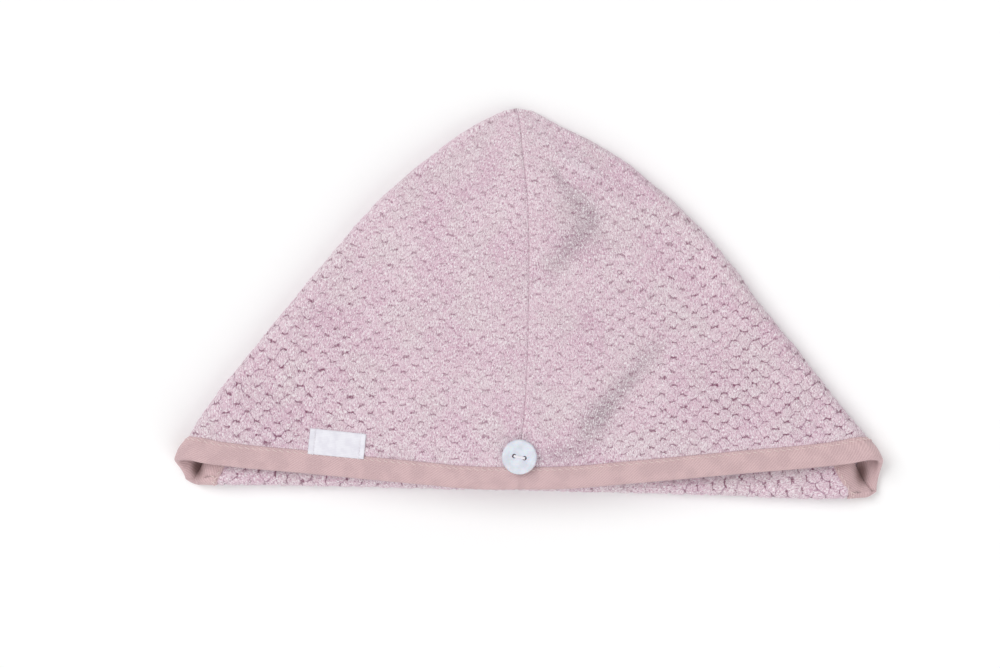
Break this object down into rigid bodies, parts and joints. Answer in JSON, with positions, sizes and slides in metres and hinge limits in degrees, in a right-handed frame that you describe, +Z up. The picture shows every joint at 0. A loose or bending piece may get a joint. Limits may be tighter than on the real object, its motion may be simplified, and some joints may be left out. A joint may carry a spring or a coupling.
{
  "type": "hair turban towel",
  "caption": "Soft triangular hair-drying hood of towelling with a taped rim, a button at its front seam and a folded-in tail that ends in an elastic loop.",
  "frame": {"origin": "on the surface the towel lies on, below the middle of its bounding box", "axes": "+X across the hood from corner to corner, to the right in the picture; +Y towards the hood's tip; +Z up out of the face that carries the button"},
  "size_m": [0.3054, 0.1696, 0.0258],
  "materials": {
    "towelling": "popcorn-weave microfibre pile",
    "binding": "matte twill tape",
    "button": "semi-gloss",
    "thread": "spun thread",
    "label": "woven satin",
    "elastic": "flat woven elastic"
  },
  "bodies": {
    "root": {"panel_left": "towelling", "panel_right": "towelling", "rim_binding": "binding", "button": "button", "button_thread": "thread", "label": "label", "tail_loop": "elastic"}
  },
  "joints": []
}
